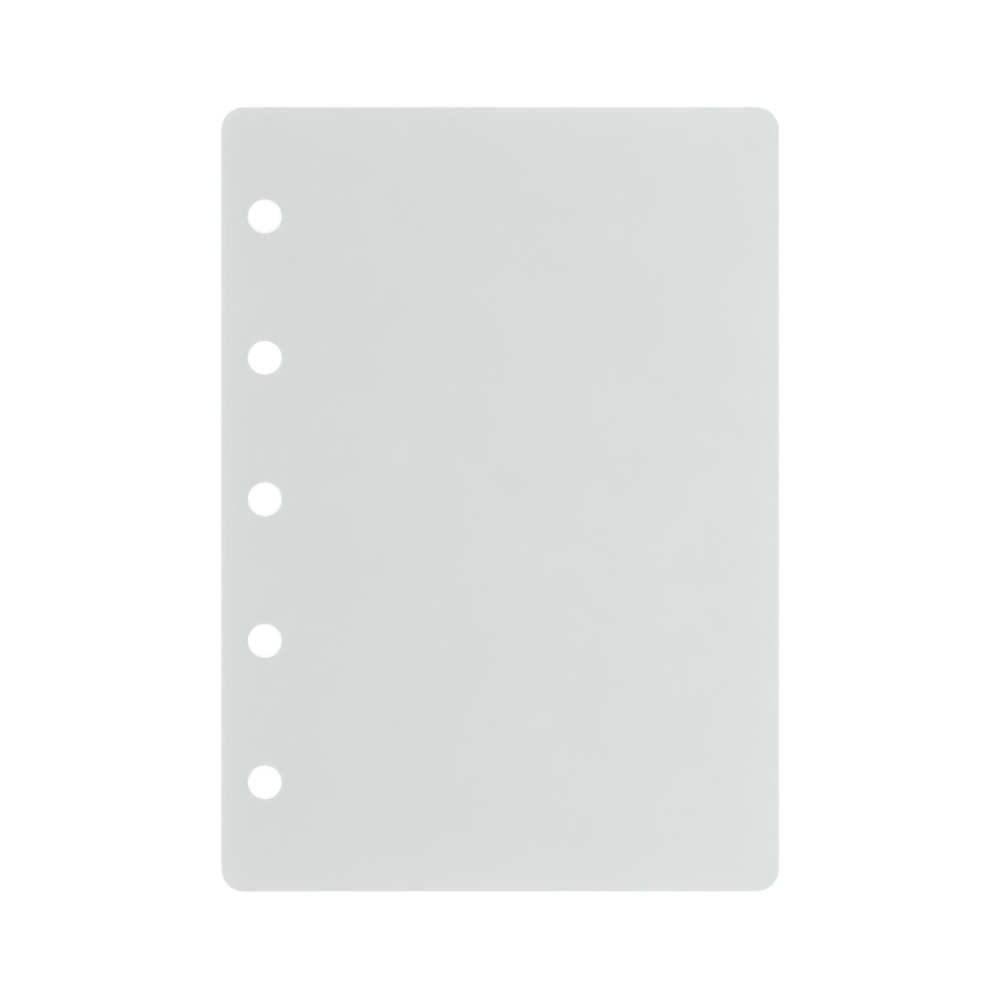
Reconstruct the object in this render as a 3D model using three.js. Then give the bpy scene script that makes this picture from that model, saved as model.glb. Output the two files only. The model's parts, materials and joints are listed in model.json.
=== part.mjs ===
// A divider page for a small ring planner: one sheet of frosted polypropylene,
// die-cut with round corners and a column of ring holes along its binding edge.
//
// Millimetres. The page lies on its back with the origin at the centre of that
// face: +X runs from the binding edge to the fore edge, +Y towards the head of
// the page and +Z up through the sheet and out of its front face.
import * as THREE from "three";

// The ring holes. Their pitch is the ring spacing of the planner.
const RING_HOLE_COUNT = 5;
const RING_HOLE_PITCH = 19.0;
const RING_HOLE_DIAMETER = 4.6;
const BINDING_MARGIN = 5.8; // binding edge to the centres of the ring holes
const END_MARGIN = 14.6; // centre of the last ring hole to the head, and to the foot

// The sheet.
const PAGE_WIDTH = 74.8;
const SHEET_THICKNESS = 0.5;
const CORNER_RADIUS = 3.0;

// How finely the round cuts are faceted: facets in a whole hole, and in one corner.
const HOLE_FACETS = 48;
const CORNER_FACETS = 12;

const RING_SPAN = (RING_HOLE_COUNT - 1) * RING_HOLE_PITCH;
const PAGE_HEIGHT = RING_SPAN + 2 * END_MARGIN;
const HOLE_COLUMN_X = BINDING_MARGIN - PAGE_WIDTH / 2;

// The height of each ring hole's centre, from the foot of the page to its head.
function ringHoleHeights() {
  return Array.from(
    { length: RING_HOLE_COUNT },
    (_, i) => i * RING_HOLE_PITCH - RING_SPAN / 2,
  );
}

// The points of one anticlockwise arc, ends included.
function arcPoints(centre, radius, startAngle, sweep, facets) {
  const endAngle = startAngle + sweep;
  const arc = new THREE.EllipseCurve(
    centre.x,
    centre.y,
    radius,
    radius,
    startAngle,
    endAngle,
  );
  return arc.getPoints(facets);
}

// A rectangle with a quarter circle at each corner, drawn anticlockwise from the
// fore edge: the arcs' ends are joined by the straight edges.
function pageOutline() {
  const quarterTurn = Math.PI / 2;
  const cornerX = PAGE_WIDTH / 2 - CORNER_RADIUS;
  const cornerY = PAGE_HEIGHT / 2 - CORNER_RADIUS;
  const corners = [
    new THREE.Vector2(cornerX, cornerY),
    new THREE.Vector2(-cornerX, cornerY),
    new THREE.Vector2(-cornerX, -cornerY),
    new THREE.Vector2(cornerX, -cornerY),
  ];
  return corners.flatMap((centre, i) =>
    arcPoints(centre, CORNER_RADIUS, i * quarterTurn, quarterTurn, CORNER_FACETS),
  );
}

function ringHoleOutline(height) {
  const centre = new THREE.Vector2(HOLE_COLUMN_X, height);
  const radius = RING_HOLE_DIAMETER / 2;
  return arcPoints(centre, radius, 0, 2 * Math.PI, HOLE_FACETS);
}

function dieCutShape() {
  const page = new THREE.Shape(pageOutline());
  page.holes = ringHoleHeights().map(
    (height) => new THREE.Path(ringHoleOutline(height)),
  );
  return page;
}

function dividerSheet() {
  const geometry = new THREE.ExtrudeGeometry(dieCutShape(), {
    depth: SHEET_THICKNESS,
    bevelEnabled: false,
  });
  const frostedPolypropylene = new THREE.MeshStandardMaterial({
    color: 0xd7dbda,
    roughness: 0.55,
    metalness: 0,
    transparent: true,
    opacity: 0.85,
  });
  const sheet = new THREE.Mesh(geometry, frostedPolypropylene);
  sheet.name = "divider_sheet";
  return sheet;
}

const page = new THREE.Group();
page.add(dividerSheet());

export default page;
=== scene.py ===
"""The looks of a frosted divider page for a small ring planner.

The page is one die-cut sheet of translucent polypropylene film with round corners and
a column of ring holes.  It lies on its back on a plain pale floor, seen from straight
above.  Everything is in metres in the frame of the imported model: +X runs from the
binding edge to the fore edge, +Y towards the head and +Z out of the front face.
"""

import json
import logging
import math
from collections.abc import Mapping, Sequence
from dataclasses import dataclass
from enum import Enum
from typing import Any

import bmesh
import bpy
import numpy as np
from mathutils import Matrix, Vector
from numpy.typing import NDArray


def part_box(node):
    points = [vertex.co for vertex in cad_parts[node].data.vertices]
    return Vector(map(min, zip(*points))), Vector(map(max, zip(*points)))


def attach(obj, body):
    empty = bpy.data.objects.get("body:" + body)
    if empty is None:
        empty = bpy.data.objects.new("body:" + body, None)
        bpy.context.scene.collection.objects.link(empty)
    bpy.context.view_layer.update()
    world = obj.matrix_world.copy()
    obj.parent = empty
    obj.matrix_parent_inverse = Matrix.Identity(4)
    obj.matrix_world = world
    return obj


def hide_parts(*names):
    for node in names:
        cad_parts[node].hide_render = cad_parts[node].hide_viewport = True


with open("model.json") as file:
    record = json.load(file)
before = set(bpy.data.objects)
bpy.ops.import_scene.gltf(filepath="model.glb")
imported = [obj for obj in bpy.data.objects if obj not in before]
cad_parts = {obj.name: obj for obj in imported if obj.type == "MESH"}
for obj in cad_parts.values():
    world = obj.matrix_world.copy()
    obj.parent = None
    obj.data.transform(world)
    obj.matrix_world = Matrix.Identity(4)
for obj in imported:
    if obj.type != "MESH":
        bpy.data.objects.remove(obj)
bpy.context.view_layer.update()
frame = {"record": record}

FloatArray = NDArray[np.float64]
IntArray = NDArray[np.int64]
Colour = tuple[float, float, float, float]
Socket = bpy.types.NodeSocket
Feed = Socket | float | tuple[float, ...]  # what an input takes: an output or a value

MM = 0.001
WHITE: Colour = (1.0, 1.0, 1.0, 1.0)
SHEET_NODE = "divider_sheet"
SHEET_BODY = "root"
RING_MOUNT = "binding_margin"

log = logging.getLogger("divider_page")


class Side(Enum):
    """The two faces of the sheet."""

    FRONT = "front"
    BACK = "back"


class Finish(Enum):
    """The material slots of the sheet, in the order that its faces count them."""

    FACE = 0
    CUT = 1


class SeenBy(Enum):
    """The rays to which the studio shows its white, by their Light Path outputs."""

    CAMERA = "Is Camera Ray"
    GLOSSY = "Is Glossy Ray"
    TRANSMISSION = "Is Transmission Ray"


def concentric(across: FloatArray, along: FloatArray) -> tuple[FloatArray, FloatArray]:
    """Maps the square from -1 to 1 onto the unit disc, square rings onto circles.

    A point's radius is the larger of its two distances from the middle.  Its angle
    runs evenly along each side of its square ring, an eighth of a turn either way
    from the middle of that side.

    Args:
        across: Distance to the right of the middle, from -1 to 1.
        along: Distance above the middle, from -1 to 1.

    Returns:
        The radius and the angle of each point.
    """
    radius = np.maximum(np.abs(across), np.abs(along))
    beside = np.abs(across) >= np.abs(along)
    longer = np.where(beside, across, along)
    slope = np.where(beside, along, across) / np.where(longer == 0, 1, longer)
    turn = np.where(beside, slope * math.pi / 4, math.pi / 2 - slope * math.pi / 4)
    return radius, turn + np.where(longer < 0, math.pi, 0)


def grid_lines(stops: Sequence[float], pitches: Sequence[float]) -> FloatArray:
    """Lines through every stop, each stretch cut evenly into steps of about its pitch.

    Args:
        stops: Places that a line has to pass through, in rising order.
        pitches: Wanted distance between lines, one for each stretch between stops.

    Returns:
        The places of the lines, in rising order.
    """
    counts = np.maximum(1, np.rint(np.diff(stops) / np.asarray(pitches))).astype(int)
    stretches = [
        np.linspace(start, end, count, endpoint=False)
        for start, end, count in zip(stops[:-1], stops[1:], counts)
    ]
    return np.concatenate([*stretches, stops[-1:]])


def grid_quads(rows: int, columns: int, closed: bool) -> IntArray:
    """The quads of a grid of points, wound from its rows to its columns.

    Args:
        rows: Number of rows of points.
        columns: Number of points in a row.
        closed: Whether the last row joins the first.

    Returns:
        One row of four point numbers for each quad.
    """
    row = np.arange(rows if closed else rows - 1)[:, None]
    column = np.arange(columns - 1)[None, :]
    here, ahead = row * columns + column, (row + 1) % rows * columns + column
    return np.stack([here, ahead, ahead + 1, here + 1], axis=-1).reshape(-1, 4)


def grid_rim(xs: FloatArray, ys: FloatArray) -> FloatArray:
    """The points on the rim of a grid, anticlockwise.

    The walk goes up the last column, back along the last row, down the first column
    and along the first row.  Each side leaves its last point to the next one.

    Args:
        xs: The x of the columns, in rising order.
        ys: The y of the rows, in rising order.

    Returns:
        One row of x and y for each point.
    """
    return np.concatenate([
        np.stack([np.full(len(ys) - 1, xs[-1]), ys[:-1]], axis=1),
        np.stack([xs[:0:-1], np.full(len(xs) - 1, ys[-1])], axis=1),
        np.stack([np.full(len(ys) - 1, xs[0]), ys[:0:-1]], axis=1),
        np.stack([xs[:-1], np.full(len(xs) - 1, ys[0])], axis=1),
    ])


@dataclass(frozen=True)
class Patch:
    """A piece of surface: points, quads, and the finish that the quads wear.

    Attributes:
        points: One row of x, y, z for each point.
        quads: One row of four point numbers for each quad, facing outwards.
        finish: One slot number for each quad.
    """

    points: FloatArray
    quads: IntArray
    finish: IntArray


@dataclass(frozen=True)
class CutEdge:
    """The section of the sheet across a cut edge.

    The die rolls the front arris over and leaves the back one crisp, so each has a
    quarter round of its own.  A flat margin on either face carries the section in to
    the sheet's flat part.

    Attributes:
        thickness: Thickness of the sheet.
        margin: Distance from the cut wall in to where the flat part begins.
        front_round: Radius of the arris on the front.
        back_round: Radius of the arris on the back.
        facets: Facets in each quarter round.
        halvings: How often a flat margin is halved towards its arris.
    """

    thickness: float
    margin: float = 0.6 * MM
    front_round: float = 0.14 * MM
    back_round: float = 0.06 * MM
    facets: int = 6
    halvings: int = 3

    def section(self) -> tuple[FloatArray, FloatArray, IntArray]:
        """The section from the front margin, over the wall, to the back margin.

        Each arris is a quarter circle.  The front one starts a radius in from the
        wall at full height and ends on the wall a radius below it, and the back one
        mirrors that.  A flat margin is halved, and the half next to its arris is
        halved again each time, so that the last step is short, which keeps the
        shading of the flats level.

        Returns:
            Distance outwards from the margin's start, height over the back face, and
            the slot number of each stretch between points.
        """
        turn = np.linspace(0, math.pi / 2, self.facets + 1)
        front, back = self.front_round, self.back_round
        lead = 1 - 0.5 ** np.arange(self.halvings + 1)
        outward = np.concatenate([
            lead * (self.margin - front),
            self.margin - front + front * np.sin(turn),
            self.margin - back + back * np.cos(turn),
            lead[::-1] * (self.margin - back),
        ])
        height = np.concatenate([
            np.full(len(lead), self.thickness),
            self.thickness - front + front * np.cos(turn),
            back - back * np.sin(turn),
            np.zeros(len(lead)),
        ])
        stretches = np.arange(len(outward) - 1)
        flat = (stretches < len(lead)) | (stretches >= len(outward) - 1 - len(lead))
        finish = np.where(flat, Finish.FACE.value, Finish.CUT.value)
        return outward, height, finish


@dataclass(frozen=True)
class DieCut:
    """What the die cuts out of the film: a page with round corners and ring holes.

    Attributes:
        low: Lowest corner of the sheet.
        high: Highest corner of the sheet.
        hole_column: X of the ring holes' centres.
        corner_radius: Radius of the page's corners.
        hole_radius: Radius of a ring hole.
        hole_pitch: Distance from one ring hole to the next.
        hole_count: Number of ring holes.
    """

    low: Vector
    high: Vector
    hole_column: float
    corner_radius: float = 3.0 * MM
    hole_radius: float = 2.3 * MM
    hole_pitch: float = 19.0 * MM
    hole_count: int = 5

    @property
    def thickness(self) -> float:
        """The thickness of the film."""
        return self.high.z - self.low.z

    def hole_centres(self) -> FloatArray:
        """The centres of the ring holes, spaced evenly about the middle of the page.

        Returns:
            One row of x and y for each hole, from the foot of the page to its head.
        """
        steps = np.arange(self.hole_count) - (self.hole_count - 1) / 2
        middle = (self.low.y + self.high.y) / 2
        column = np.full(self.hole_count, self.hole_column)
        return np.stack([column, middle + steps * self.hole_pitch], axis=-1)

    def core(self) -> FloatArray:
        """The rectangle that joins the centres of the page's round corners.

        Returns:
            Its lowest x and y in the first row, and its highest in the second.
        """
        inset = self.corner_radius
        return np.array([
            [self.low.x + inset, self.low.y + inset],
            [self.high.x - inset, self.high.y - inset],
        ])

    def from_outline(self, points: FloatArray) -> FloatArray:
        """Distance inwards from the page's outline.

        It is the corner radius, less the distance from the rectangle that joins the
        corners' centres, plus how deep a point lies inside that rectangle.

        Args:
            points: One row for each point, with x and y first.

        Returns:
            The distance of each point, positive on the page.
        """
        low, high = self.core()
        past = np.maximum(low - points[:, :2], points[:, :2] - high)
        outside = np.linalg.norm(np.maximum(past, 0), axis=1)
        return self.corner_radius - outside - np.minimum(past.max(axis=1), 0)

    def from_cut(self, points: FloatArray) -> FloatArray:
        """Distance from the nearest cut, be it the outline or the rim of a hole.

        It is the distance from the outline or, where that is less, the distance
        from the nearest hole's centre less the hole's radius.

        Args:
            points: One row for each point, with x and y first.

        Returns:
            The distance of each point, positive on the page.
        """
        ways = points[:, None, :2] - self.hole_centres()[None]
        from_holes = np.linalg.norm(ways, axis=2).min(axis=1) - self.hole_radius
        return np.minimum(self.from_outline(points), from_holes)


@dataclass
class DividerSheet:
    """The sheet as a closed mesh, whose rounded cut edges catch the light.

    The flat part of each face is a grid of quads whose corners are bent round, with a
    square cell left out at each ring hole.  A patch from square to circle fills each
    cell, and the edge section is carried along the outline and round each hole.

    Attributes:
        cut: The outline and the holes.
        edge: The section across a cut edge.
        cell_half: Half the width of the square cell round a ring hole.
        fine_pitch: Distance between grid lines at the holes and corners.
        open_pitch: Distance between grid lines on the open page.
        ring_steps: Steps from a hole's margin out to its cell.
        weld_distance: Points of two patches that lie closer than this are one.
    """

    cut: DieCut
    edge: CutEdge
    cell_half: float = 3.6 * MM
    fine_pitch: float = 0.4 * MM
    open_pitch: float = 1.2 * MM
    ring_steps: int = 3
    weld_distance: float = 0.0006 * MM

    def columns(self) -> FloatArray:
        """The x of the grid lines, which pass every cell side and corner centre.

        Returns:
            The x of each line, in rising order.
        """
        (left, _), (right, _) = self.cut.core()
        near, far = (self.cut.hole_column + way * self.cell_half for way in (-1, 1))
        margin = self.edge.margin
        stops = [self.cut.low.x + margin, near, left, far, right, self.cut.high.x - margin]
        fine, wide = self.fine_pitch, self.open_pitch
        return grid_lines(stops, [fine, fine, fine, wide, fine])

    def rows(self) -> FloatArray:
        """The y of the grid lines, which pass every cell side and corner centre.

        Returns:
            The y of each line, in rising order.
        """
        (_, foot), (_, head) = self.cut.core()
        heights = self.cut.hole_centres()[:, 1]
        sides = np.stack([heights - self.cell_half, heights + self.cell_half], axis=1)
        margin = self.edge.margin
        stops = [
            self.cut.low.y + margin, foot, *sides.ravel(), head, self.cut.high.y - margin,
        ]
        fine, wide = self.fine_pitch, self.open_pitch
        return grid_lines(stops, [fine, *[wide, fine] * len(heights), wide, fine])

    def rounded(self, x: FloatArray, y: FloatArray) -> tuple[FloatArray, FloatArray]:
        """Bends the corners of a rectangular grid round.

        A point is its nearest point on the rectangle between the corners' centres,
        plus the concentric map of what is left over.

        Args:
            x: The x of each point on the rectangle inside the margin.
            y: The y of each point.

        Returns:
            The bent points, and the direction in which each was carried outwards.
        """
        reach = self.cut.corner_radius - self.edge.margin
        flat = np.stack([x, y], axis=-1)
        core = np.clip(flat, *self.cut.core())
        left_over = (flat - core) / reach
        radius, angle = concentric(left_over[..., 0], left_over[..., 1])
        way = np.stack([np.cos(angle), np.sin(angle)], axis=-1)
        return core + reach * radius[..., None] * way, way

    def face_grid(self) -> Patch:
        """The flat part of a face, with its hole cells left out.

        Returns:
            The patch at height 0, facing up.
        """
        xs, ys = self.columns(), self.rows()
        points, _ = self.rounded(*np.meshgrid(xs, ys, indexing="ij"))
        flat = points.reshape(-1, 2)
        quads = grid_quads(len(xs), len(ys), closed=False)
        middles = flat[quads].mean(axis=1)
        ways = np.abs(middles[:, None] - self.cut.hole_centres()[None]).max(axis=2)
        quads = quads[(ways > self.cell_half).all(axis=1)]
        return self.level(flat, quads)

    def cell_rim(self, centre: FloatArray) -> FloatArray:
        """The grid points on the rim of a hole's cell, anticlockwise.

        Args:
            centre: The x and y of the hole.

        Returns:
            One row of x and y for each point, seen from the hole's centre.
        """
        def within(lines: FloatArray, middle: float) -> FloatArray:
            """The lines from one side of the cell to the other, from its middle."""
            offsets = lines - middle
            return offsets[np.abs(offsets) < self.cell_half + self.fine_pitch / 2]

        return grid_rim(within(self.columns(), centre[0]), within(self.rows(), centre[1]))

    def hole_patch(self, centre: FloatArray) -> Patch:
        """The flat patch between a hole's margin and its cell, at height 0.

        Each of its points lies on the straight line from a point of the margin's
        circle to the rim point that the concentric map pairs with it.

        Args:
            centre: The x and y of the hole.

        Returns:
            The patch, facing up.
        """
        rim = self.cell_rim(centre)
        share = np.linspace(0, 1, self.ring_steps + 1)[None, :, None]
        circle = self.hole_margin(rim)[:, None]
        points = centre + circle * (1 - share) + rim[:, None] * share
        quads = grid_quads(len(rim), self.ring_steps + 1, closed=True)
        return self.level(points.reshape(-1, 2), quads[:, ::-1])

    def hole_margin(self, rim: FloatArray) -> FloatArray:
        """The points of a hole's margin that pair with the points of its cell's rim.

        Each lies on the margin's circle, at the angle that the concentric map gives
        to its rim point.

        Args:
            rim: One row of x and y for each rim point, seen from the hole's centre.

        Returns:
            One row of x and y for each point, seen from the hole's centre.
        """
        _, angle = concentric(*(rim / self.cell_half).T)
        reach = self.cut.hole_radius + self.edge.margin
        return reach * np.stack([np.cos(angle), np.sin(angle)], axis=1)

    @staticmethod
    def level(points: FloatArray, quads: IntArray) -> Patch:
        """A patch of the face's finish at height 0, from points with x and y only.

        Args:
            points: One row of x and y for each point.
            quads: The quads between them.

        Returns:
            The patch, without the points that no quad uses.
        """
        used, renumbered = np.unique(quads, return_inverse=True)
        lifted = np.column_stack([points[used], np.zeros(len(used))])
        finish = np.full(len(quads), Finish.FACE.value)
        return Patch(lifted, renumbered.reshape(quads.shape), finish)

    def on_side(self, patch: Patch, side: Side) -> Patch:
        """A level patch, put on one face of the sheet and turned to face outwards.

        Args:
            patch: A patch at height 0 that faces up.
            side: The face it belongs to.

        Returns:
            The patch in its place.
        """
        front = side is Side.FRONT
        height = self.cut.high.z if front else self.cut.low.z
        quads = patch.quads if front else patch.quads[:, ::-1]
        return Patch(patch.points + [0, 0, height], quads, patch.finish)

    def outline_band(self) -> Patch:
        """The edge section carried along the outline, anticlockwise."""
        rim = grid_rim(self.columns(), self.rows())
        return self.carried(*self.rounded(*rim.T))

    def hole_band(self, centre: FloatArray) -> Patch:
        """The edge section carried round a hole, clockwise, so that it faces inwards.

        Args:
            centre: The x and y of the hole.

        Returns:
            The band in its place.
        """
        circle = self.hole_margin(self.cell_rim(centre))[::-1]
        ways = -circle / np.linalg.norm(circle, axis=1, keepdims=True)
        return self.carried(centre + circle, ways)

    def carried(self, path: FloatArray, ways: FloatArray) -> Patch:
        """Carries the edge section along a closed path that keeps the film on its left.

        Each point is the path's point, plus the section's distance along the way
        outwards, at the section's height.

        Args:
            path: The x and y of each point on the path.
            ways: The unit vector from each point towards the cut wall.

        Returns:
            The band, facing outwards.
        """
        outward, height, finish = self.edge.section()
        flat = path[:, None] + outward[None, :, None] * ways[:, None]
        heights = np.broadcast_to(self.cut.low.z + height, flat.shape[:2])
        points = np.concatenate([flat, heights[..., None]], axis=-1).reshape(-1, 3)
        quads = grid_quads(len(path), len(outward), closed=True)[:, ::-1]
        return Patch(points, quads, np.tile(finish, len(path)))

    def patches(self) -> list[Patch]:
        """Every patch of the closed sheet.

        Returns:
            The patches of both faces, and the bands along the outline and the holes.
        """
        centres = self.cut.hole_centres()
        level = [self.face_grid(), *map(self.hole_patch, centres)]
        faces = [self.on_side(patch, side) for side in Side for patch in level]
        return [*faces, self.outline_band(), *map(self.hole_band, centres)]

    def mesh(self) -> bpy.types.Mesh:
        """The patches joined into one closed mesh, with its distances from the cuts.

        Returns:
            The mesh, without materials.
        """
        patches = self.patches()
        starts = np.cumsum([0, *(len(patch.points) for patch in patches[:-1])])
        points = np.concatenate([patch.points for patch in patches])
        quads = np.concatenate([p.quads + start for p, start in zip(patches, starts)])
        mesh = bpy.data.meshes.new(SHEET_NODE + "_film")
        mesh.from_pydata(points, [], quads.tolist())
        finish = np.concatenate([patch.finish for patch in patches]).astype(np.int32)
        mesh.polygons.foreach_set("material_index", finish)
        mesh.polygons.foreach_set("use_smooth", np.ones(len(quads), bool))
        weld(mesh, self.weld_distance)
        self.note_distances(mesh)
        mesh.update()
        return mesh

    def note_distances(self, mesh: bpy.types.Mesh) -> None:
        """Stores how far each point lies from the outline and from the nearest cut.

        Args:
            mesh: The joined mesh, which gains two attributes in millimetres.
        """
        flat = np.empty(len(mesh.vertices) * 3, np.float32)
        mesh.vertices.foreach_get("co", flat)
        points = flat.reshape(-1, 3).astype(float)
        for name, distance in (
            ("from_outline", self.cut.from_outline(points)),
            ("from_cut", self.cut.from_cut(points)),
        ):
            attribute = mesh.attributes.new(name, "FLOAT", "POINT")
            attribute.data.foreach_set("value", (distance / MM).astype(np.float32))

    def build(self) -> bpy.types.Object:
        """Makes the dressed sheet and lets it stand for the solid one.

        Returns:
            The sheet.
        """
        mesh = self.mesh()
        film = FrostedFilm()
        mesh.materials.append(film.face())
        mesh.materials.append(film.cut_edge())
        sheet = bpy.data.objects.new("divider_sheet_film", mesh)
        bpy.context.scene.collection.objects.link(sheet)
        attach(sheet, SHEET_BODY)
        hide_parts(SHEET_NODE)
        log.info("%s: %d faces", sheet.name, len(mesh.polygons))
        return sheet


def weld(mesh: bpy.types.Mesh, distance: float) -> None:
    """Merges points that lie within a distance of each other.

    Args:
        mesh: The mesh, changed in place.
        distance: Points closer than this become one.
    """
    work = bmesh.new()
    work.from_mesh(mesh)
    bmesh.ops.remove_doubles(work, verts=work.verts, dist=distance)
    loose = sum(not edge.is_manifold for edge in work.edges)
    log.info("%s: %d points, %d open edges", mesh.name, len(work.verts), loose)
    work.to_mesh(mesh)
    work.free()


class Wiring:
    """A node tree and the short calls that fill it."""

    def __init__(self, tree: bpy.types.NodeTree) -> None:
        """Takes over the tree of a material, world or node group, and clears it."""
        self.tree = tree
        tree.nodes.clear()

    def feed(self, socket: Socket, source: Feed) -> None:
        """Links an input socket to an output, or gives it a plain value.

        Args:
            socket: The input.
            source: The output socket that feeds it, or the value that it takes.
        """
        if isinstance(source, Socket):
            self.tree.links.new(source, socket)
        else:
            socket.default_value = source

    def add(
        self, kind: str, inputs: Mapping[str | int, Feed], **settings: Any
    ) -> bpy.types.Node:
        """Adds a node, sets it and feeds its inputs.

        Args:
            kind: The node's class name, such as ShaderNodeMath.
            inputs: What feeds each input, by the input's name or number.
            **settings: The node's own settings.

        Returns:
            The node.
        """
        node = self.tree.nodes.new(kind)
        for name, value in settings.items():
            setattr(node, name, value)
        for name, source in inputs.items():
            self.feed(node.inputs[name], source)
        return node

    def maths(self, operation: str, *values: Feed) -> Socket:
        """The output of a Math node whose inputs take the values in their order."""
        node = self.add("ShaderNodeMath", dict(enumerate(values)), operation=operation)
        return node.outputs["Value"]

    def blend(self, factor: Feed, first: Feed, second: Feed) -> Socket:
        """A colour that goes from the first to the second as the factor rises.

        Args:
            factor: Share of the second colour.
            first: An output socket or a colour.
            second: An output socket or a colour.

        Returns:
            The output socket.
        """
        node = self.add("ShaderNodeMix", {}, data_type="RGBA")
        sockets = {socket.identifier: socket for socket in (*node.inputs, *node.outputs)}
        self.feed(sockets["Factor_Float"], factor)
        self.feed(sockets["A_Color"], first)
        self.feed(sockets["B_Color"], second)
        return sockets["Result_Color"]


@dataclass(frozen=True)
class FilmGrain:
    """The relief and clouding of the film, as a node group for all its surfaces.

    Attributes:
        name: The group's name.
        keep: Share of its strength that each finer octave of a noise keeps.
        grain_octaves: Number of finer octaves in the frosting.
        line_octaves: Number of finer octaves in the draw lines.
        cloud_octaves: Number of finer octaves in the clouding.
        line_squeeze: Scale of the position along the draw lines, which draws them out.
    """

    name: str = "film_grain"
    keep: float = 0.55
    grain_octaves: float = 3.0
    line_octaves: float = 4.0
    cloud_octaves: float = 2.0
    line_squeeze: float = 0.015

    def group(self) -> bpy.types.NodeTree:
        """Builds the group, or finds it once built.

        Its Height adds a fine even grain to faint draw lines, which run the way that
        the film was drawn.  Its Clouding is a slow unevenness around a middle of one
        half, so wide that it hardly changes through the film's thickness.

        Returns:
            The node group.
        """
        found = bpy.data.node_groups.get(self.name)
        if found is not None:
            return found
        tree = bpy.data.node_groups.new(self.name, "ShaderNodeTree")
        for label, kind in (
            ("Position", "NodeSocketVector"),
            ("Grain Pitch", "NodeSocketFloat"),
            ("Draw Line Share", "NodeSocketFloat"),
            ("Cloud Pitch", "NodeSocketFloat"),
        ):
            tree.interface.new_socket(label, in_out="INPUT", socket_type=kind)
        for label in ("Height", "Clouding"):
            tree.interface.new_socket(label, in_out="OUTPUT", socket_type="NodeSocketFloat")
        wiring = Wiring(tree)
        given = wiring.add("NodeGroupInput", {}).outputs
        place, pitch = given["Position"], given["Grain Pitch"]
        grain = self.noise(wiring, place, pitch, self.grain_octaves)
        clouding = self.noise(wiring, place, given["Cloud Pitch"], self.cloud_octaves)
        squeeze = (1.0, self.line_squeeze, 1.0)
        drawn = wiring.add("ShaderNodeMapping", {"Vector": place, "Scale": squeeze})
        lines = self.noise(wiring, drawn.outputs["Vector"], pitch, self.line_octaves)
        shared = wiring.maths("MULTIPLY", lines, given["Draw Line Share"])
        height = wiring.maths("ADD", grain, shared)
        wiring.add("NodeGroupOutput", {"Height": height, "Clouding": clouding})
        return tree

    def noise(self, wiring: Wiring, place: Socket, pitch: Socket, octaves: float) -> Socket:
        """Noise with features of about one pitch.

        Args:
            wiring: The tree that gets the nodes.
            place: The position, in metres.
            pitch: The size of the largest features, in metres.
            octaves: The number of finer octaves.

        Returns:
            The noise, from 0 to 1.
        """
        scale = wiring.maths("DIVIDE", 1.0, pitch)
        inputs = {"Vector": place, "Scale": scale, "Detail": octaves, "Roughness": self.keep}
        return wiring.add("ShaderNodeTexNoise", inputs).outputs["Fac"]


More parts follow.
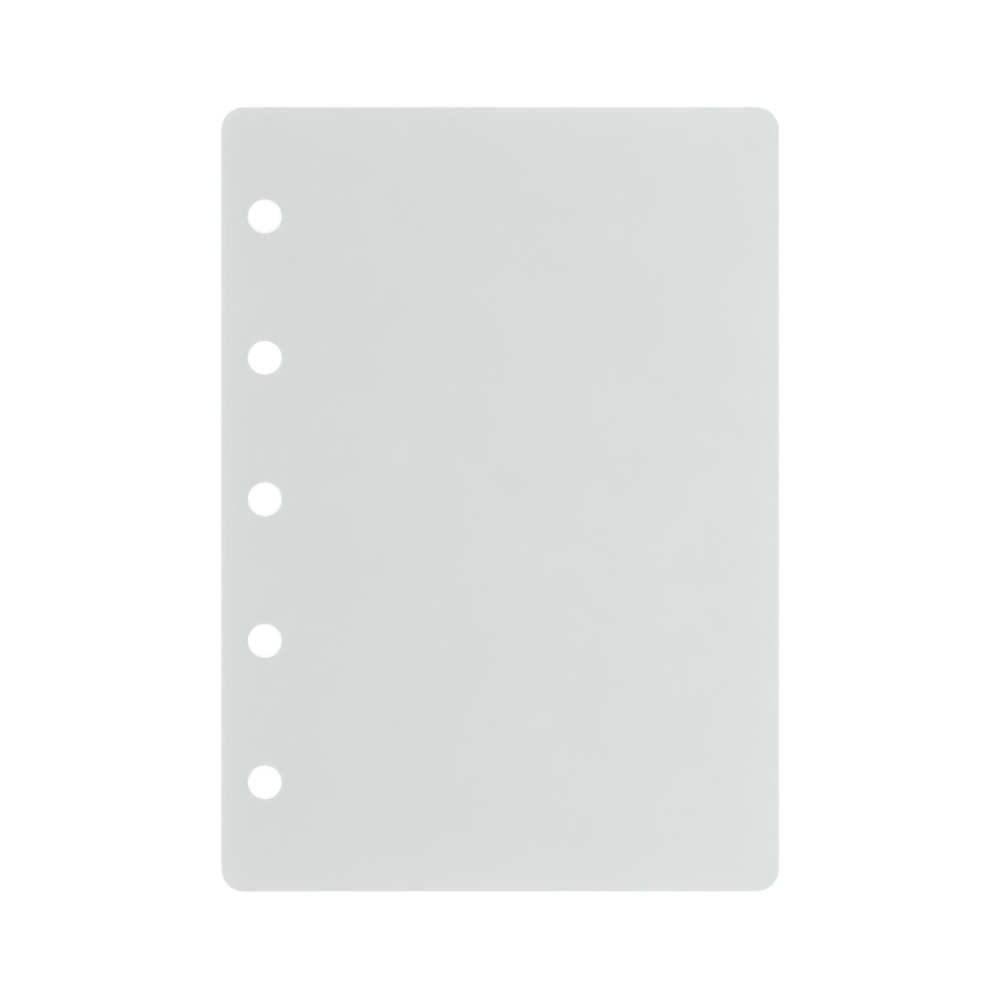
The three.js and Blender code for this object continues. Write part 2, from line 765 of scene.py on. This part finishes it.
@dataclass(frozen=True)
class FrostedFilm:
    """Frosted polypropylene: milky, satin and see-through to what lies right behind it.

    Attributes:
        tint: Colour of the film where it is clearest, pale with a little green.
        clouded: Colour of the film where it is milkiest.
        edge_light: Painted light near the outline: a paler colour that stands in for
        light which enters the cut edge and leaves the film again.
        edge_reach: How far in that light fades by a factor of e, in millimetres.
        edge_share: Share of that light at the outline.
        whitening_and_painted_highlight: Colour of the pale rim at every cut, partly the film
            whitened by the die and partly a painted highlight where the arris catches the
            light.
        whitening_and_painted_highlight_reach: How far in that pale rim fades, in
            millimetres.
        whitening_and_painted_highlight_share: Share of that pale rim at the cut.
        clarity: Share of light that goes through instead of scattering back.
        shade: Share of light that each of the two faces lets on to what lies below.
        index: Refractive index of polypropylene.
        face_roughness: Roughness of the frosted faces.
        cut_roughness: Roughness of the sheared wall.
        roughness_spread: How far the grain takes either roughness up and down.
        grain_pitch: Size of the frosting's grains.
        grain_depth: Depth of the frosting.
        line_share: Depth of the faces' draw lines, as a share of the frosting's.
        tear_squeeze: Scale of the position up the sheared wall, which draws the grain
            out into tear marks.
        cloud_pitch: Size of the clouding.
    """

    tint: Colour = (0.728, 0.761, 0.753, 1.0)
    clouded: Colour = (0.758, 0.783, 0.777, 1.0)
    edge_light: Colour = (0.83, 0.85, 0.845, 1.0)
    edge_reach: float = 3.0
    edge_share: float = 0.28
    whitening_and_painted_highlight: Colour = (0.86, 0.88, 0.875, 1.0)
    whitening_and_painted_highlight_reach: float = 0.15
    whitening_and_painted_highlight_share: float = 0.3
    clarity: float = 0.6
    shade: Colour = (0.86, 0.87, 0.865, 1.0)
    index: float = 1.49
    face_roughness: float = 0.48
    cut_roughness: float = 0.36
    roughness_spread: float = 0.05
    grain_pitch: float = 0.22 * MM
    grain_depth: float = 0.035 * MM
    line_share: float = 0.35
    tear_squeeze: float = 0.08
    cloud_pitch: float = 16.0 * MM

    def face(self) -> bpy.types.Material:
        """The finish of the two frosted faces."""
        return self.finish(
            "frosted_face", self.face_roughness, squeeze=1.0, lines=self.line_share
        )

    def cut_edge(self) -> bpy.types.Material:
        """The finish of the sheared walls, whose tear marks run through the sheet."""
        return self.finish(
            "die_cut_edge", self.cut_roughness, squeeze=self.tear_squeeze, lines=0.0
        )

    def finish(
        self, name: str, roughness: float, squeeze: float, lines: float
    ) -> bpy.types.Material:
        """One finish of the film.

        Args:
            name: The material's name.
            roughness: Its middle roughness.
            squeeze: Scale of the height in the grain, below 1 to draw it out upwards.
            lines: Depth of the draw lines, as a share of the frosting's.

        Returns:
            The material.
        """
        material = bpy.data.materials.new(name)
        material.use_nodes = True
        wiring = Wiring(material.node_tree)
        place = wiring.add("ShaderNodeTexCoord", {}).outputs["Object"]
        drawn = wiring.add(
            "ShaderNodeMapping", {"Vector": place, "Scale": (1.0, 1.0, squeeze)}
        )
        grain = wiring.add(
            "ShaderNodeGroup",
            {
                "Position": drawn.outputs["Vector"],
                "Grain Pitch": self.grain_pitch,
                "Draw Line Share": lines,
                "Cloud Pitch": self.cloud_pitch,
            },
            node_tree=FilmGrain().group(),
        )
        rough = wiring.add(
            "ShaderNodeMapRange",
            {
                "Value": grain.outputs["Height"],
                "To Min": roughness - self.roughness_spread,
                "To Max": roughness + self.roughness_spread,
            },
        )
        bump = wiring.add(
            "ShaderNodeBump",
            {"Height": grain.outputs["Height"], "Distance": self.grain_depth},
        )
        film = wiring.add(
            "ShaderNodeBsdfPrincipled",
            {
                "Base Color": self.colour(wiring, grain.outputs["Clouding"]),
                "Roughness": rough.outputs["Result"],
                "IOR": self.index,
                "Transmission Weight": self.clarity,
                "Normal": bump.outputs["Normal"],
            },
        )
        shade = wiring.add("ShaderNodeBsdfTransparent", {"Color": self.shade})
        surface = wiring.add(
            "ShaderNodeMixShader",
            {
                0: wiring.add("ShaderNodeLightPath", {}).outputs["Is Shadow Ray"],
                1: film.outputs["BSDF"],
                2: shade.outputs["BSDF"],
            },
        )
        wiring.add("ShaderNodeOutputMaterial", {"Surface": surface.outputs["Shader"]})
        return material

    def colour(self, wiring: Wiring, clouding: Socket) -> Socket:
        """The film's colour, with painted light near the outline and a pale rim at
        every cut.

        The painted light near the outline fades exponentially, and so does the rim
        at a cut, which is partly the film whitened by the die and partly a painted
        highlight: each has its share at the edge, divided by e for each reach
        further in.

        Args:
            wiring: The material's tree.
            clouding: The film's clouding, around one half.

        Returns:
            The colour.
        """
        # Painted light near the outline, standing in for light that enters the cut edge.
        edge = self.fading(wiring, "from_outline", self.edge_reach, self.edge_share)
        # A pale rim at every cut, partly the film whitened by the die and partly a painted
        # highlight.
        whitening_and_highlight_mask = self.fading(
            wiring, "from_cut", self.whitening_and_painted_highlight_reach, self.whitening_and_painted_highlight_share
        )
        milky = wiring.blend(clouding, self.tint, self.clouded)
        lit = wiring.blend(edge, milky, self.edge_light)
        return wiring.blend(whitening_and_highlight_mask, lit, self.whitening_and_painted_highlight)

    @staticmethod
    def fading(wiring: Wiring, name: str, reach: float, share: float) -> Socket:
        """A share that fades exponentially with a distance stored on the mesh.

        Args:
            wiring: The material's tree.
            name: The attribute that holds the distance, in millimetres.
            reach: The distance over which it falls by a factor of e.
            share: Its value at distance 0.

        Returns:
            The share.
        """
        distance = wiring.add("ShaderNodeAttribute", {}, attribute_name=name).outputs["Fac"]
        fall = wiring.maths("EXPONENT", wiring.maths("DIVIDE", distance, -reach))
        return wiring.maths("MULTIPLY", fall, share)


@dataclass(frozen=True)
class Softbox:
    """A rectangular area lamp that points at the page.

    Attributes:
        name: The lamp's name.
        place: Where it hangs.
        size: Its width and height.
        power: Its power in watts.
    """

    name: str
    place: tuple[float, float, float]
    size: tuple[float, float]
    power: float

    def build(self) -> bpy.types.Object:
        """Hangs the lamp and turns it to the middle of the page.

        Returns:
            The lamp.
        """
        data = bpy.data.lights.new(self.name, "AREA")
        data.shape = "RECTANGLE"
        data.size, data.size_y = self.size
        data.energy = self.power
        lamp = bpy.data.objects.new(self.name, data)
        lamp.location = self.place
        lamp.rotation_euler = (-Vector(self.place)).to_track_quat("-Z", "Y").to_euler()
        bpy.context.scene.collection.objects.link(lamp)
        log.info("lamp %s: %.2f W", self.name, self.power)
        return lamp


@dataclass(frozen=True)
class Floor:
    """The plain pale floor that the page lies on.

    Attributes:
        half_width: Half its width.
        drop: How far it lies below the sheet's back face.
        paleness: How much of the light on it the floor scatters back.
        near_glow: What it adds near the page, for the rays that look at it, so that
            it reads as white.
        far_glow: What it adds far off, where less of the lamp's light falls.
        near: Distance from the page's middle out to which the near glow holds.
        far: Distance from which the far glow holds.
    """

    half_width: float = 3.0
    drop: float = 0.12 * MM
    paleness: float = 0.55
    near_glow: float = 0.465
    far_glow: float = 0.60
    near: float = 0.08
    far: float = 0.45

    def build(self) -> bpy.types.Object:
        """Lays the floor.

        Returns:
            The floor.
        """
        half = self.half_width
        corners = np.array([[-half, -half], [half, -half], [half, half], [-half, half]])
        points = np.column_stack([corners, np.full(len(corners), -self.drop)])
        mesh = bpy.data.meshes.new("floor")
        mesh.from_pydata(points, [], [(0, 1, 2, 3)])
        mesh.materials.append(self.material())
        floor = bpy.data.objects.new("floor", mesh)
        bpy.context.scene.collection.objects.link(floor)
        log.info("floor %.2f mm below the sheet", self.drop / MM)
        return floor

    def material(self) -> bpy.types.Material:
        """A matt white that keeps the page's shadow, and is clear when seen from below.

        Returns:
            The material.
        """
        material = bpy.data.materials.new("floor")
        material.use_nodes = True
        wiring = Wiring(material.node_tree)
        pale = (self.paleness, self.paleness, self.paleness, 1.0)
        matt = wiring.add("ShaderNodeBsdfDiffuse", {"Color": pale})
        place = wiring.add("ShaderNodeTexCoord", {}).outputs["Object"]
        reach = wiring.add("ShaderNodeVectorMath", {0: place}, operation="LENGTH")
        level = wiring.add(
            "ShaderNodeMapRange",
            {
                "Value": reach.outputs["Value"],
                "From Min": self.near,
                "From Max": self.far,
                "To Min": self.near_glow,
                "To Max": self.far_glow,
            },
        )
        glow = wiring.maths("MULTIPLY", seen_share(wiring), level.outputs["Result"])
        light = wiring.add("ShaderNodeEmission", {"Strength": glow})
        both = wiring.add(
            "ShaderNodeAddShader", {0: matt.outputs["BSDF"], 1: light.outputs["Emission"]}
        )
        behind = wiring.add("ShaderNodeNewGeometry", {}).outputs["Backfacing"]
        looking = wiring.add("ShaderNodeLightPath", {}).outputs["Is Camera Ray"]
        surface = wiring.add(
            "ShaderNodeMixShader",
            {
                0: wiring.maths("MULTIPLY", behind, looking),
                1: both.outputs["Shader"],
                2: wiring.add("ShaderNodeBsdfTransparent", {}).outputs["BSDF"],
            },
        )
        wiring.add("ShaderNodeOutputMaterial", {"Surface": surface.outputs["Shader"]})
        return material


def seen_share(wiring: Wiring) -> Socket:
    """1 for the rays that look at the studio itself, and 0 for those that gather light.

    Args:
        wiring: The tree that gets the nodes.

    Returns:
        The share.
    """
    path = wiring.add("ShaderNodeLightPath", {}).outputs
    first, second, third = (path[ray.value] for ray in SeenBy)
    return wiring.maths("MAXIMUM", wiring.maths("MAXIMUM", first, second), third)


@dataclass(frozen=True)
class Surroundings:
    """The even white light that comes from all round.

    Attributes:
        lighting: Its strength on the things that it lights.
        backdrop: Its strength as a background, where 1 is white.
    """

    lighting: float = 0.75
    backdrop: float = 1.0

    def build(self) -> bpy.types.World:
        """Makes the world.

        Returns:
            The world.
        """
        world = bpy.data.worlds.new("surroundings")
        world.use_nodes = True
        wiring = Wiring(world.node_tree)
        strength = wiring.add(
            "ShaderNodeMapRange",
            {"Value": seen_share(wiring), "To Min": self.lighting, "To Max": self.backdrop},
        )
        white = wiring.add(
            "ShaderNodeBackground",
            {"Color": WHITE, "Strength": strength.outputs["Result"]},
        )
        wiring.add("ShaderNodeOutputWorld", {"Surface": white.outputs["Background"]})
        bpy.context.scene.world = world
        log.info("surroundings at %.2f", self.lighting)
        return world


@dataclass(frozen=True)
class OverheadCamera:
    """A camera with a long lens, straight above the page.

    Attributes:
        lens: Focal length in millimetres.
        sensor: Width of the sensor in millimetres.
        view_width: Width of the picture at the sheet's front face.
        aim: The x and y of the point in the middle of the picture.
        clip: How near and how far it sees.
    """

    lens: float = 100.0
    sensor: float = 36.0
    view_width: float = 134.15 * MM
    aim: tuple[float, float] = (-0.03 * MM, -0.09 * MM)
    clip: tuple[float, float] = (10 * MM, 10.0)

    def build(self, height: float) -> bpy.types.Object:
        """Makes the scene's camera.

        Args:
            height: Height of the sheet's front face.

        Returns:
            The camera.
        """
        data = bpy.data.cameras.new("overhead")
        data.lens, data.sensor_width = self.lens, self.sensor
        data.clip_start, data.clip_end = self.clip
        camera = bpy.data.objects.new("overhead", data)
        distance = self.view_width * self.lens / self.sensor
        camera.location = (*self.aim, height + distance)
        bpy.context.scene.collection.objects.link(camera)
        bpy.context.scene.camera = camera
        log.info("camera %.0f mm above the page", distance / MM)
        return camera


@dataclass(frozen=True)
class Studio:
    """The floor, the light and the camera round the page.

    Attributes:
        floor: The floor.
        surroundings: The even light.
        softboxes: The lamps.
        camera: The camera.
    """

    floor: Floor = Floor()
    surroundings: Surroundings = Surroundings()
    softboxes: tuple[Softbox, ...] = (
        Softbox(
            name="key_softbox", place=(0.34, -0.04, 0.46), size=(0.6, 0.5), power=1.6
        ),
    )
    camera: OverheadCamera = OverheadCamera()

    def build(self, face_height: float) -> None:
        """Sets up the studio.

        Args:
            face_height: Height of the sheet's front face.
        """
        self.camera.build(face_height)
        self.surroundings.build()
        self.floor.build()
        for softbox in self.softboxes:
            softbox.build()
        bpy.context.scene.view_settings.view_transform = "Standard"


def hole_column_of(record: Mapping[str, Any]) -> float:
    """The x of the ring holes' centres, which the mount for the rings lies on.

    Args:
        record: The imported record.

    Returns:
        The x, in metres.
    """
    mounts = {mount["name"]: mount for mount in record["mounts"]}
    return mounts[RING_MOUNT]["pos_m"][0]


def main() -> None:
    """Builds the sheet and the studio round it."""
    logging.basicConfig(level=logging.INFO, format="%(name)s: %(message)s")
    low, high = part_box(SHEET_NODE)
    cut = DieCut(low, high, hole_column_of(frame["record"]))
    DividerSheet(cut, CutEdge(cut.thickness)).build()
    Studio().build(high.z)


if __name__ == "__main__":
    main()
